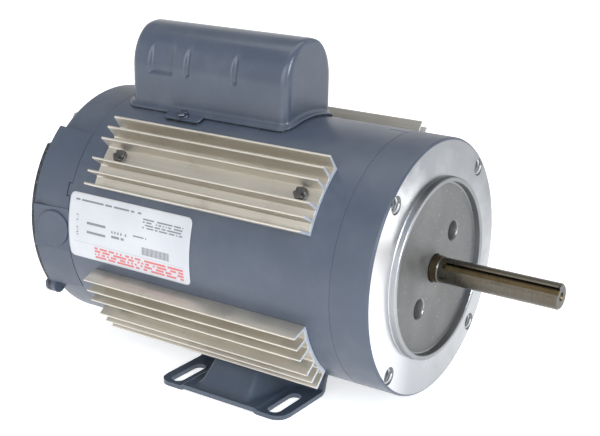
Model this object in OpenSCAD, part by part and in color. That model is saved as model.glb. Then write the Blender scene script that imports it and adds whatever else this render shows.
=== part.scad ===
// Foot-mounted, C-face, capacitor-start electric motor with bolted-on heat sinks.
// Row frame: +Z up, the shaft points along -Y, the origin is the centre of the
// foot-slot pattern on the floor plane. Shaft-line parts are drawn with the local
// Z axis along the shaft, towards the drive end (see along_shaft()).

/* [Frame] */
// Height of the shaft line above the feet
shaft_height = 88.9; // [86:0.1:95]
// Outside radius of the rolled stator shell
shell_r = 81; // [80:0.1:82]
// Wall thickness of the stator shell
shell_wall = 3; // [2.5:0.1:3.5]
// Distance from the foot pattern's centre to the C-face plane
face_z = 105.9; // [104:0.1:108]
// Depth of the drive-end bell's rim, from the C-face to the shell
front_bell_l = 25.65; // [25:0.05:26.5]
// Length of the shell between the two bells
shell_l = 204.1; // [203:0.1:205]
// Depth of the rear bell, from the shell to its back wall
rear_bell_l = 27.75; // [27.5:0.05:28]

/* [C-face] */
// Radius of the raised pilot
pilot_r = 57.15; // [56:0.05:58]
// Height of the raised pilot
pilot_h = 4.06; // [3.5:0.01:5]
// Bolt circle diameter of the face holes
face_pcd = 149.225; // [148:0.005:150]
// Tapping radius of the face holes
face_hole_r = 3.97; // [3.5:0.01:4.2]

/* [Shaft] */
// Radius of the keyed output end
shaft_r = 7.9375; // [7.5:0.0005:8.2]
// Radius of the bearing seats
seat_r = 8.5; // [8.4:0.05:8.5]
// Length of the output end past the C-face
shaft_reach = 81.9; // [60:0.1:90]
// Width of the open keyway
key_w = 4.76; // [4:0.01:5]
// Direction of the keyway at rest, counted from +X towards +Z
key_angle = 139; // [0:1:359]

/* [Heat sinks] */
// Length of each heat sink
sink_len = 166; // [150:1:170]
// Radius of the fin tips
fin_tip_r = 94; // [90:0.5:96]
// Thickness of a fin
fin_t = 1.7; // [1.2:0.1:2]
// Angle of the upper pair above the horizontal
sink_up = 38.6; // [38:0.1:40]
// Angle of the lower pair below the horizontal
sink_down = 32.1; // [31:0.1:33]

/* [Capacitor cover] */
// Half width of the cover's walls
cover_w = 26; // [25:0.5:27]
// Length of the cover's walls
cover_len = 126.5; // [124:0.5:130]
// Height of the cover's crown above the shaft line
cover_top = 131.2; // [129:0.1:133]

/* [Base] */
// Half width of the foot pads across the motor
base_w = 81; // [80:0.5:83]
// Half length of the base along the motor
base_l = 48.8; // [48:0.1:51]
// Distance of the slots from the centre, across
slot_x = 61.9; // [60:0.1:62]
// Distance of the slots from the centre, along
slot_y = 38.1; // [37:0.05:39]
// End-to-end length of a foot slot
slot_len = 30.5; // [26:0.5:31]
// Width of a foot slot
slot_w = 8.73; // [8:0.01:9]

/* [Hidden] */
$fn = 96;
cut = 0.5;                              // how far a cutter runs past the face it cuts
inner_r = shell_r - shell_wall;         // bore of the shell
bell_r = shell_r - 0.1;                 // outside of both bells
front_seam_z = face_z - front_bell_l;
rear_seam_z = front_seam_z - shell_l;
bell_rear_z = rear_seam_z - rear_bell_l;
spigot = 5.5;                           // length of each bell's spigot inside the shell
floor_z = face_z - 0.4;                 // cast floor inside the pilot
pilot_z = face_z + pilot_h;             // top of the pilot
shaft_end_z = face_z + shaft_reach;
core_front_z = face_z - 81.5;           // stator and rotor stack
core_rear_z = face_z - 170.5;
stator_bore = 47.85;
rotor_r = 47.5;
bolt_ring_r = 73.5;                     // through bolts
bolt_angles = [60, 120, 240, 300];
bolt_r = 2.5;
bearing_r = 20;                         // 17 x 40 x 12 ball bearings
bearing_w = 12;
ball_ring_r = 14.25;
ball_r = 3.3;
ball_count = 8;
front_bearing_z = face_z - 18;
rear_bearing_z = bell_rear_z + 14;
retainer_spots = [[29, 39.5], [28, 230]];
recess_r = 6.5;                         // recesses over the retainer screws
recess_l = 11.5;
face_hole_l = 18;                       // depth of the threaded holes in the face
sink_z = face_z - 126;                   // middle of the heat sinks
sink_screw_z = 69.85;
fin_offsets = [-15, -9.8, -4.45, 4.45, 9.8, 15];
cover_y = 157.5 - face_z;                // middle of the capacitor cover
cover_corner = 5;                        // rounding where its walls meet its ends
cover_crown = 28;                        // height of its arched part
cover_foot = 60;                         // start of its walls, inside the shell
cover_flare = 3;
cover_sheet = 1.5;
cover_screw_y = 170.6 - face_z;
cover_screw_angle = 67.1;
cap_z = shaft_height + 106;             // capacitor axis
block_r = 84;                           // conduit block at the back of the rear bell
block_seam_r = 81.3;                    // and where it fades into the shell
pad_half = 14.6;                        // flat round the conduit hole
pad_x = 84.2;
pad_seam_x = 80.4;
pad_tilt = atan((pad_x - pad_seam_x) / rear_bell_l);
plug_z = bell_rear_z + 15.6;
conduit_r = 11.1;
cover_plate_z = bell_rear_z - 2.5;      // between the gasket and the cover plate
cover_plate_end = bell_rear_z - 4.5;
ear = [82.5, 215.5, 3.4];               // ear of the terminal cover: radius, angle, thread depth
ear_r = 5.2;
ear_l = 4;
ground_spot = [64, 154];                // ground screw in the partition
notch = [157.5, 163.5];                 // tab of the shell that keys the rear bell, in degrees
notch_l = 2.6;
cover_screw_spots = [ear, [73, 145, 7.5], [29, 180, 7.5]];
governor_z = bell_rear_z + 59.6;        // plane of the governor weights' pins
hub_pivot_r = 24;
arm_pivot = [42, -23];                  // switch arm pin, height and place
post_angles = [68, 280];                // switch board posts
post_ring_r = 45;
board_z = -28.5;
foot_t = 3;
foot_x = 31;                            // inner edge of the feet, where the webs stand
saddle_x = 76;                          // outer foot of the saddles
window_y = 22;                          // half length of the gap in the webs, under the saddles
pad_y = 28.5;                           // start of the flat feet

paint = [0.36, 0.40, 0.46];
alloy = [0.78, 0.78, 0.76];
fin_alloy = [0.70, 0.67, 0.60];
steel = [0.55, 0.53, 0.49];
dark = [0.13, 0.14, 0.16];
zinc = [0.70, 0.71, 0.72];
copper = [0.66, 0.36, 0.18];
brass = [0.75, 0.62, 0.32];
phenolic = [0.25, 0.17, 0.11];

// ---- helpers ----

// Local Z runs along the shaft, towards the drive end
module along_shaft(z = 0) {
  translate([0, 0, shaft_height]) rotate([90, 0, 0]) translate([0, 0, z]) children();
}

// A place on a circle round the shaft, at angle a from +X towards +Z
module on_ring(r, a, z = 0) {
  rotate(a) translate([r, 0, z]) children();
}

// Local Z points outwards along a radius of the shaft line
module on_radius(a, r, z) {
  rotate(a) translate([r, 0, z]) rotate([0, 90, 0]) children();
}

module tube(r_out, r_in, h) {
  difference() {
    cylinder(r = r_out, h = h);
    translate([0, 0, -cut]) cylinder(r = r_in, h = h + 2 * cut);
  }
}

// A wedge of the plane from angle a0 to a1, out to radius r
module wedge(r, a0, a1) {
  far = r / cos((a1 - a0) / 4);
  polygon([[0, 0], far * [cos(a0), sin(a0)], far * [cos((a0 + a1) / 2), sin((a0 + a1) / 2)],
           far * [cos(a1), sin(a1)]]);
}

module sector(r_out, r_in, a0, a1, z0, z1) {
  translate([0, 0, z0]) linear_extrude(z1 - z0) intersection() {
    difference() {
      circle(r = r_out);
      circle(r = r_in);
    }
    wedge(r_out + 5, a0, a1);
  }
}

module rounded_rect(w, l, r) {
  square([2 * w, 2 * (l - r)], center = true);
  square([2 * (w - r), 2 * l], center = true);
  for (sx = [-1, 1], sy = [-1, 1]) translate([sx * (w - r), sy * (l - r)]) circle(r = r);
}

// Points of a quarter arc, for turned profiles
function arc(c, r, a0, a1, steps = 6) =
  [for (i = [0 : steps]) let (a = a0 + (a1 - a0) * i / steps) c + r * [cos(a), sin(a)]];

// Hexagon washer-head screw with a slot; the head stands on z = 0
module slotted_screw(shank_r, shank_l, across_flats, head_h, washer_r) {
  difference() {
    union() {
      translate([0, 0, -shank_l]) cylinder(r = shank_r, h = shank_l);
      cylinder(r = washer_r, h = 1);
      cylinder(r = across_flats / sqrt(3), h = head_h, $fn = 6);
    }
    translate([0, 0, head_h]) cube([2 * washer_r, 1.2, 2.4], center = true);
  }
}

// ---- housing ----

module stator_shell() {
  color(paint) along_shaft() difference() {
    translate([0, 0, rear_seam_z - notch_l]) tube(shell_r, inner_r, shell_l + notch_l);
    rotate(notch[1]) rotate_extrude(angle = 360 + notch[0] - notch[1])
      translate([inner_r - 1, rear_seam_z - notch_l - cut]) square([shell_wall + 2, notch_l + cut]);
    for (a = sink_angles(), s = [-1, 1])
      on_radius(a, inner_r - 5, sink_z + s * sink_screw_z) cylinder(r = 2.2, h = 15);
    for (a = [cover_screw_angle, 180 - cover_screw_angle])
      on_radius(a, inner_r - 5, -cover_screw_y) cylinder(r = 2.2, h = 15);
    on_radius(90, inner_r - 5, core_rear_z - 18) cylinder(r = 8, h = 15);
  }
}

function sink_angles() = [180 - sink_up, 180 + sink_down, sink_up, -sink_down];

module drive_end_bell() {
  edge = 1.8;
  rim_r = 69;
  wall_z = face_z - 11;
  hub_r = 36;
  hub_z = front_bearing_z - bearing_w / 2;
  color(alloy) along_shaft() difference() {
    rotate_extrude() polygon(concat(
      [[seat_r + 0.3, wall_z], [seat_r + 0.3, floor_z], [pilot_r - 3.2, floor_z],
       [pilot_r - 3.2, pilot_z - 0.4], [pilot_r - 2.8, pilot_z], [pilot_r - 0.5, pilot_z],
       [pilot_r, pilot_z - 0.5], [pilot_r, face_z]],
      arc([bell_r - edge, face_z - edge], edge, 90, 0),
      [[bell_r, front_seam_z], [inner_r, front_seam_z], [inner_r, front_seam_z - spigot],
       [rim_r + 2, front_seam_z - spigot], [rim_r, front_seam_z], [rim_r, wall_z - 2],
       [rim_r - 3, wall_z], [hub_r + 2, wall_z], [hub_r, wall_z - 2], [hub_r, hub_z],
       [bearing_r, hub_z], [bearing_r, hub_z + bearing_w], [seat_r + 0.3, hub_z + bearing_w]]));
    for (a = [45 : 90 : 315]) on_ring(face_pcd / 2, a, face_z - face_hole_l)
      cylinder(r = face_hole_r, h = face_hole_l + cut);
    for (p = retainer_spots) on_ring(p[0], p[1]) {
      translate([0, 0, hub_z - cut]) cylinder(r = 2.2, h = 30);
      translate([0, 0, floor_z - recess_l]) cylinder(r = recess_r, h = recess_l + cut);
    }
    for (a = bolt_angles) on_ring(bolt_ring_r, a, front_seam_z - spigot - cut)
      cylinder(r = bolt_r, h = 16);
  }
}

// Profile of the raised block, drawn with the shaft line as its Y axis
module block_profile() {
  polygon([[inner_r - 3, bell_rear_z], [block_r, bell_rear_z], [block_seam_r, rear_seam_z - 0.1],
           [inner_r - 3, rear_seam_z - 0.1]]);
}

// Prism under the tilted flat round the conduit hole, out to x_far
module pad_prism(x_in, x_out, half) {
  lean = pad_x - pad_seam_x;
  rotate([-90, 0, 0]) linear_extrude(2 * half, center = true)
    polygon([[-x_in, -bell_rear_z], [-x_out, -bell_rear_z], [lean - x_out, -rear_seam_z],
             [lean - x_in, -rear_seam_z]]);
}

// Local Z points out of the flat round the conduit hole
module on_pad() {
  lean = (plug_z - bell_rear_z) * tan(pad_tilt);
  translate([-pad_x + lean, 0, plug_z]) rotate([0, pad_tilt - 90, 0]) children();
}

module bell_posts(r, z0, z1) {
  for (a = post_angles) on_ring(post_ring_r, a, z0) cylinder(r = r, h = z1 - z0);
}

module rear_end_bell() {
  edge = 3.2;
  hub_r = 27.5;
  hub_z = rear_bearing_z + bearing_w / 2;
  wall_z = bell_rear_z + 6;
  partition_z = bell_rear_z + 24.5;
  board_back_z = governor_z + board_z;
  color(paint) along_shaft() difference() {
    union() {
      rotate_extrude() polygon(concat(
        [[0, bell_rear_z]],
        arc([bell_r - edge, bell_rear_z + edge], edge, -90, 0),
        [[bell_r, rear_seam_z - 0.6], [bell_r - 0.6, rear_seam_z], [inner_r, rear_seam_z],
         [inner_r, rear_seam_z + spigot],
         [inner_r - 3.5, rear_seam_z + spigot], [inner_r - 3.5, wall_z + 3.5],
         [inner_r - 7, wall_z], [hub_r, wall_z], [hub_r, hub_z], [bearing_r, hub_z],
         [bearing_r, wall_z], [0, wall_z]]));
      rotate(132) rotate_extrude(angle = 80) block_profile();
      pad_prism(70, pad_x, pad_half);
      sector(inner_r - 2, hub_r + 1, 143, 213, bell_rear_z, partition_z + 3);
      for (a = bolt_angles) on_ring(bolt_ring_r, a, bell_rear_z + 1)
        cylinder(r = 4.4, h = rear_bell_l + spigot - 2);
      bell_posts(4, bell_rear_z + 1, board_back_z);
      on_ring(ear[0], ear[1], bell_rear_z) cylinder(r = ear_r, h = ear_l);
    }
    sector(72, 32, 148, 208, bell_rear_z - 1, partition_z);
    pad_prism(pad_x, pad_x + 8, pad_half);
    on_pad() translate([0, 0, -11]) cylinder(r = conduit_r, h = 20);
    for (a = bolt_angles) on_ring(bolt_ring_r, a, bell_rear_z - cut) cylinder(r = 2.7, h = 50);
    for (p = cover_screw_spots) on_ring(p[0], p[1], bell_rear_z - cut)
      cylinder(r = 1.9, h = p[2] + 0.1 + cut);
    on_ring(ground_spot[0], ground_spot[1], partition_z - cut) cylinder(r = 1.5, h = 3 + 2 * cut);
    sector(block_r + 2, inner_r + 0.05, notch[0] - 0.3, notch[1] + 0.3, rear_seam_z - notch_l - 0.4,
           rear_seam_z + cut);
    bell_posts(1.9, board_back_z - 10, board_back_z + cut);
  }
}

module terminal_outline(r) {
  intersection() {
    circle(r = r);
    rotate(-1) translate([-58, 0]) rounded_rect(34, 50, 4);
  }
  translate(ear[0] * [cos(ear[1]), sin(ear[1])]) circle(r = ear_r);
}

module terminal_plate(r, z0, z1) {
  along_shaft() difference() {
    translate([0, 0, z0]) linear_extrude(z1 - z0) terminal_outline(r);
    for (p = cover_screw_spots) on_ring(p[0], p[1], z0 - cut) cylinder(r = 2.1, h = 5);
  }
}

module terminal_cover() {
  color(paint) terminal_plate(block_r - 1.7, cover_plate_end, cover_plate_z);
}

module terminal_cover_gasket() {
  color(dark) difference() {
    terminal_plate(block_r, cover_plate_z, bell_rear_z);
    along_shaft() sector(69, 35, 151, 205, cover_plate_z - cut, bell_rear_z + cut);
  }
}

module terminal_cover_screws() {
  color(zinc) along_shaft() for (p = cover_screw_spots)
    on_ring(p[0], p[1], cover_plate_end) rotate([180, 0, 0])
      slotted_screw(1.9, bell_rear_z - cover_plate_end + p[2], 5.5, 2.6, 4);
}

module conduit_hole_plug() {
  flange_r = 12.2;
  flange_t = 1.6;
  color(paint) along_shaft() on_pad() rotate_extrude()
    polygon(concat([[conduit_r - 1, -4], [conduit_r, -3.5], [conduit_r, 0], [flange_r, 0]],
                   arc([flange_r - 0.8, flange_t - 0.8], 0.8, 0, 90, 4),
                   [[0, flange_t], [0, flange_t - 0.8], [conduit_r - 1, flange_t - 0.8]]));
}

// Outline across the cover: straight walls under an arched crown
module cover_arch(inset) {
  w = cover_w - inset;
  spring = cover_top - cover_crown;
  translate([-w, cover_foot]) square([2 * w, spring - cover_foot]);
  translate([0, spring]) intersection() {
    scale([w / (cover_crown - inset), 1]) circle(r = cover_crown - inset);
    translate([-w, -1]) square([2 * w, cover_crown + 1]);
  }
}

// The cover's block: the arch, shrinking at both ends round an edge radius
module capacitor_cover_hull(inset) {
  r = cover_corner;
  steps = 4;
  translate([0, cover_y, shaft_height]) rotate([90, 0, 0]) hull()
    for (i = [0 : steps]) {
      a = 90 * i / steps;
      linear_extrude(cover_len - 2 * (inset + r * (1 - cos(a))), center = true)
        cover_arch(inset + r * (1 - sin(a)));
    }
}

module cover_prism(w, l, r, z0, h) {
  translate([0, cover_y, shaft_height + z0]) linear_extrude(h) rounded_rect(w, l, r);
}

// The tab on each long side that takes a screw
module cover_tabs(extra) {
  for (s = [-1, 1]) translate([s * 30.5, cover_screw_y, shaft_height + cover_foot])
    linear_extrude(40) rounded_rect(5.5 + extra, 14.6 + extra, 3);
}

module cover_screw_holes(r) {
  along_shaft() for (a = [cover_screw_angle, 180 - cover_screw_angle])
    on_radius(a, 70, -cover_screw_y) cylinder(r = r, h = 17);
}

module capacitor_cover() {
  seat = shell_r + 0.8;
  color(paint) difference() {
    union() {
      capacitor_cover_hull(0);
      intersection() {
        union() {
          cover_prism(cover_w + cover_flare, cover_len / 2 + cover_flare, 8, cover_foot, 40);
          cover_tabs(0);
        }
        along_shaft(-cover_y - 80) cylinder(r = seat + 1.5, h = 160);
      }
    }
    capacitor_cover_hull(cover_sheet);
    along_shaft(-cover_y - 80) cylinder(r = seat, h = 160);
    cover_screw_holes(2.3);
  }
}

module capacitor_cover_gasket() {
  color(dark) difference() {
    intersection() {
      union() {
        cover_prism(cover_w + cover_flare - 0.6, cover_len / 2 + cover_flare - 0.6, 7.4, cover_foot, 40);
        cover_tabs(-0.6);
      }
      along_shaft(-cover_y - 80) cylinder(r = shell_r + 0.8, h = 160);
    }
    along_shaft(-cover_y - 81) cylinder(r = shell_r, h = 162);
    cover_prism(cover_w - 4, cover_len / 2 - 4, 8, 50, 60);
    cover_screw_holes(2.3);
  }
}

module capacitor_cover_screws() {
  color(zinc) along_shaft() for (a = [cover_screw_angle, 180 - cover_screw_angle])
    on_radius(a, shell_r + 2.3, -cover_screw_y) slotted_screw(2.1, 5.2, 6.4, 3, 3.9);
}

module start_capacitor() {
  r = 19;
  color(dark) translate([0, 4, cap_z]) rotate([-90, 0, 0]) rotate_extrude()
    polygon(concat([[0, 2]], [[r - 2.5, 2], [r - 2.5, 0]], [[r - 1, 0]],
                   arc([r - 1, 1], 1, -90, 0, 4), [[r, 88]], arc([r - 2, 88], 2, 0, 90, 4),
                   [[0, 90]]));
}

module capacitor_terminals() {
  color(brass) for (s = [-1, 1]) translate([s * 7, 0, cap_z]) {
    rotate([-90, 0, 0]) cylinder(r = 2.4, h = 6);
    translate([-3.2, -4, -0.4]) cube([6.4, 5, 0.8]);
  }
}

module capacitor_clamp() {
  strap_w = 14;
  color(zinc) difference() {
    union() {
      translate([0, cover_y - strap_w / 2, cap_z]) rotate([-90, 0, 0]) cylinder(r = 20.2, h = strap_w);
      translate([-8, cover_y - strap_w / 2, shaft_height + 76]) cube([16, strap_w, 14]);
    }
    translate([0, cover_y - strap_w, cap_z]) rotate([-90, 0, 0]) cylinder(r = 19, h = 2 * strap_w);
    along_shaft(-cover_y - strap_w) cylinder(r = shell_r, h = 2 * strap_w);
  }
}

module sink_profile() {
  base_t = 2.6;
  intersection() {
    difference() {
      circle(r = shell_r + base_t, $fn = 180);
      circle(r = shell_r, $fn = 180);
    }
    wedge(shell_r + 8, fin_offsets[0] - 0.5, -fin_offsets[0] + 0.5);
  }
  for (a = fin_offsets) rotate(a)
    translate([shell_r + 1, -fin_t / 2]) square([fin_tip_r - shell_r - 1, fin_t]);
}

module heat_sink(a) {
  color(fin_alloy) along_shaft() difference() {
    rotate(a) translate([0, 0, sink_z - sink_len / 2]) linear_extrude(sink_len) sink_profile();
    for (s = [-1, 1]) on_radius(a, shell_r - 5, sink_z + s * sink_screw_z) cylinder(r = 2.5, h = 12);
  }
}

module heat_sink_screws() {
  color(dark) along_shaft() for (a = sink_angles(), s = [-1, 1])
    on_radius(a, shell_r + 2.6, sink_z + s * sink_screw_z) slotted_screw(2.1, 8, 7.6, 3.6, 4.7);
}

// Half of the hollow saddle pressed up to the shell, on the +X side: each slab is
// [outer x, bottom z, half length]; it narrows away from the shell
module saddle_hull(inset) {
  slabs = [[saddle_x, -inset, 19], [foot_x, -inset, 33], [52, 26.5 - inset, 17], [foot_x, 20 - inset, 25]];
  slab_w = 2;
  hull() for (p = slabs) {
    x = p[0] - (p[0] > foot_x ? slab_w + 1.3 * inset : 0);
    translate([x, inset - p[2], p[1]]) cube([slab_w, 2 * (p[2] - inset), 0.5]);
  }
}

module foot_slot() {
  run = slot_len - slot_w;
  translate([-run / 2, -slot_w / 2, -1]) cube([run, slot_w, foot_t + 3]);
  for (s = [-1, 1]) translate([s * run / 2, 0, -1]) cylinder(r = slot_w / 2, h = foot_t + 3);
}

// Sheet that hugs the shell between the feet, with a web down to each foot
module base_band() {
  lean = 3.5;
  web_z = 14;
  rotate([90, 0, 0]) linear_extrude(2 * base_l, center = true) {
    intersection() {
      translate([0, shaft_height]) circle(r = shell_r + foot_t);
      translate([-foot_x, 0]) square([2 * foot_x, web_z]);
    }
    for (m = [0, 1]) mirror([m, 0])
      polygon([[foot_x, 0], [foot_x + foot_t, 0], [foot_x + foot_t - lean, web_z], [foot_x - lean, web_z]]);
  }
}

module foot_plates() {
  corner = 9;
  outer = base_w - corner;
  linear_extrude(foot_t) for (s = [-1, 1], t = [-1, 1]) {
    translate([s > 0 ? foot_x : -base_w + corner, t > 0 ? pad_y - 1 : -base_l])
      square([outer - foot_x, base_l - pad_y + 1]);
    translate([s * outer, t * (base_l - corner)]) circle(r = corner);
    translate([s > 0 ? outer - 1 : -base_w, t > 0 ? pad_y - 1 : corner - base_l])
      square([corner + 1, base_l - pad_y + 1 - corner]);
  }
}

module mounting_base() {
  joggle = 1.2;
  joggle_y = 29.3;
  color([0.24, 0.28, 0.34]) difference() {
    union() {
      foot_plates();
      for (s = [-1, 1]) translate([s > 0 ? foot_x : -base_w, -joggle_y, joggle])
        cube([base_w - foot_x, 2 * joggle_y, foot_t]);
      base_band();
      for (m = [0, 1]) mirror([m, 0, 0]) saddle_hull(0);
    }
    difference() {
      union() {
        for (m = [0, 1]) mirror([m, 0, 0]) saddle_hull(foot_t);
        translate([-foot_x - 4, -window_y, -1]) cube([2 * foot_x + 8, 2 * window_y, 16]);
      }
      along_shaft(-base_l - 5) cylinder(r = shell_r + foot_t, h = 2 * base_l + 10);
    }
    for (sx = [-1, 1], sy = [-1, 1]) translate([sx * slot_x, sy * slot_y, 0]) foot_slot();
    along_shaft(-base_l - 5) cylinder(r = shell_r, h = 2 * base_l + 10);
  }
}

module through_bolts() {
  head_h = 3.5;
  color(zinc) along_shaft() for (a = bolt_angles) on_ring(bolt_ring_r, a) {
    translate([0, 0, bell_rear_z]) cylinder(r = bolt_r, h = shell_l + rear_bell_l + 8);
    translate([0, 0, bell_rear_z - head_h]) cylinder(r = 8 / sqrt(3), h = head_h, $fn = 6);
  }
}

module rating_label() {
  label_len = 101.5;
  label_mid_z = face_z - 178.25;
  label_up = 5.2;
  label_h = 21.7;
  color("white") along_shaft() intersection() {
    translate([0, 0, rear_seam_z]) tube(shell_r + 0.25, shell_r, 120);
    translate([0, label_up, label_mid_z]) rotate([0, -90, 0])
      linear_extrude(100) rounded_rect(label_len / 2, label_h, 3.8);
  }
}

// ---- inside the housing ----

module stator_core() {
  slots = 36;
  color([0.42, 0.42, 0.44]) along_shaft() difference() {
    translate([0, 0, core_rear_z]) tube(inner_r, stator_bore, core_front_z - core_rear_z);
    for (i = [0 : slots - 1]) rotate(i * 360 / slots)
      translate([0, 0, core_rear_z - cut]) linear_extrude(core_front_z - core_rear_z + 2 * cut)
        slot_profile(0);
    for (a = bolt_angles) on_ring(bolt_ring_r, a, core_rear_z - cut)
      cylinder(r = 3.2, h = core_front_z - core_rear_z + 2 * cut);
  }
}

module slot_profile(inset) {
  polygon([[49.5 + inset, -1.4 + inset], [64 - inset, -3 + inset], [64 - inset, 3 - inset],
           [49.5 + inset, 1.4 - inset]]);
  if (inset == 0) translate([47, -1]) square([3, 2]);
}

module stator_winding() {
  slots = 36;
  bundle = 27;
  color(copper) along_shaft() {
    for (i = [0 : slots - 1]) rotate(i * 360 / slots)
      translate([0, 0, core_rear_z - 2]) linear_extrude(core_front_z - core_rear_z + 4)
        slot_profile(0.3);
    for (end = [[core_front_z + 1, 1], [core_rear_z - 1, -1]])
      translate([0, 0, end[0]]) scale([1, 1, end[1]]) winding_bundle(bundle);
  }
}

module winding_bundle(h) {
  corner = 6;
  rotate_extrude() polygon(concat(
    [[52, 0]], [[66, 0]], arc([68 - corner, h - corner], corner, 0, 90, 5),
    arc([50 + corner, h - corner], corner, 90, 180, 5)));
}

module shaft() {
  core_r = 12;
  color(steel) along_shaft() difference() {
    rotate_extrude() polygon([
      [0, rear_bearing_z - 7], [seat_r - 0.6, rear_bearing_z - 7], [seat_r, rear_bearing_z - 6.4],
      [seat_r, rear_bearing_z + 6], [10, rear_bearing_z + 6], [10, core_rear_z - 9.5],
      [core_r, core_rear_z - 9.5], [core_r, core_front_z + 15.5], [10, core_front_z + 15.5],
      [10, front_bearing_z - 6], [seat_r, front_bearing_z - 6],
      [seat_r, face_z + 4.6], [shaft_r, face_z + 5.2], [shaft_r, shaft_end_z - 0.9],
      [shaft_r - 0.9, shaft_end_z], [0, shaft_end_z]]);
    on_ring(shaft_r - 2.4, key_angle) {
      translate([0, -key_w / 2, face_z + 10.2]) cube([6, key_w, shaft_reach]);
      translate([0, 0, face_z + 10.2]) rotate([0, 90, 0]) cylinder(r = key_w / 2, h = 6);
    }
    translate([0, 0, shaft_end_z - 4.5]) cylinder(r1 = 0.2, r2 = 2.8, h = 4.6);
  }
}

module rotor_bars() {
  bars = 34;
  for (i = [0 : bars - 1]) on_ring(44, i * 360 / bars, core_rear_z - 2)
    cylinder(r = 2, h = core_front_z - core_rear_z + 4, $fn = 32);
}

module rotor_core() {
  color([0.36, 0.37, 0.39]) along_shaft() difference() {
    translate([0, 0, core_rear_z]) tube(rotor_r, 12, core_front_z - core_rear_z);
    rotor_bars();
  }
}

module rotor_cage() {
  color(alloy) along_shaft() {
    rotor_bars();
    translate([0, 0, core_front_z]) tube(46.5, 32, 8);
    translate([0, 0, core_rear_z - 8]) tube(46.5, 32, 8);
    for (i = [0 : 7]) rotate(i * 45) translate([35, -1.2, core_front_z + 7]) cube([10, 2.4, 10]);
  }
}

module race(r_in, r_out, groove) {
  rotate_extrude() difference() {
    translate([r_in, -bearing_w / 2]) square([r_out - r_in, bearing_w]);
    translate([ball_ring_r, 0]) circle(r = groove, $fn = 48);
  }
}

module bearing_balls() {
  for (i = [0 : ball_count - 1]) on_ring(ball_ring_r, i * 360 / ball_count) sphere(r = ball_r, $fn = 32);
}

module bearing_cage() {
  difference() {
    translate([0, 0, -4.4]) tube(ball_ring_r + 0.7, ball_ring_r - 0.7, 8.8);
    for (i = [0 : ball_count - 1]) on_ring(ball_ring_r, i * 360 / ball_count)
      rotate([0, 90, 0]) cylinder(r = ball_r + 0.05, h = 4, center = true);
  }
}

module inner_race(z) { color(steel) along_shaft(z) race(seat_r, 11.7, ball_r + 0.12); }
module outer_race(z) { color(steel) along_shaft(z) race(16.8, bearing_r, ball_r + 0.12); }
module ball_set(z) { color(zinc) along_shaft(z) bearing_balls(); }
module ball_cage(z) { color(brass) along_shaft(z) bearing_cage(); }

// Wavy washer: a closed ribbon whose height follows a sine
module wave_spring() {
  steps = 72;
  waves = 4;
  r = [16, 19.4];
  lift = [0, 0.5];
  pts = [for (i = [0 : steps - 1]) let (a = i * 360 / steps, h = 0.7 * sin(waves * a))
    for (k = [[0, 0], [1, 0], [1, 1], [0, 1]]) [r[k[0]] * cos(a), r[k[0]] * sin(a), h + lift[k[1]]]];
  color(steel) along_shaft(rear_bearing_z - bearing_w / 2 - 1.25)
    polyhedron(pts, ring_faces(steps, 4));
}

// Faces of a closed chain of n rings, each with m points
function ring_faces(n, m) = [for (i = [0 : n - 1], j = [0 : m - 1])
  let (i2 = (i + 1) % n, j2 = (j + 1) % m) [m * i + j, m * i + j2, m * i2 + j2, m * i2 + j]];

module bearing_retainer() {
  z = front_bearing_z - bearing_w / 2;
  color(alloy) along_shaft(z - 3) difference() {
    cylinder(r = 35, h = 3);
    translate([0, 0, -cut]) cylinder(r = 12.5, h = 4);
    for (p = retainer_spots) on_ring(p[0], p[1], -cut) cylinder(r = 1.9, h = 4);
  }
}

module retainer_screws() {
  color(zinc) along_shaft() for (p = retainer_spots)
    on_ring(p[0], p[1], floor_z - 11.5) slotted_screw(1.9, 17, 7, 3, 4.2);
}

// ---- centrifugal start switch, drawn about the plane of the weight pins ----

module at_governor() {
  along_shaft(governor_z) children();
}

module governor_hub() {
  disc_z = 11;
  color(steel) at_governor() {
    translate([0, 0, disc_z]) tube(28, 10, 3);
    translate([0, 0, disc_z - 3]) tube(15, 10, 3);
    for (a = [90, 270], s = [-1, 1]) rotate(a)
      translate([hub_pivot_r - 3, s * 7 - 1, -3]) cube([7, 2, disc_z + 1]);
    for (a = [90, 270]) rotate(a) translate([hub_pivot_r, 0, 0])
      rotate([90, 0, 0]) cylinder(r = 1.2, h = 16, center = true);
  }
}

// Spool with a groove for the weights' fingers and a disc that holds the switch arm back
module governor_spool() {
  color(phenolic) at_governor() rotate_extrude() polygon([
    [10.06, -18], [24, -18], [24, -16], [13, -16], [13, -6.6], [17, -6.6], [17, -5.2],
    [13, -5.2], [13, -0.8], [17, -0.8], [17, 0.6], [10.06, 0.6]]);
}

// Weight with the finger that moves the spool; it turns on its hub pin
module governor_weight(a) {
  color(steel) at_governor() rotate(a) translate([hub_pivot_r, 0, 0]) difference() {
    union() {
      rotate([90, 0, 0]) cylinder(r = 3, h = 11, center = true);
      translate([-9.6, -2.5, -4.3]) cube([10, 5, 2.6]);
      translate([-1.5, -5.5, 0]) cube([5, 11, 10]);
      translate([-1, -5.5, 2]) cube([7.5, 11, 8]);
    }
    rotate([90, 0, 0]) cylinder(r = 1.27, h = 12, center = true);
  }
}

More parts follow.
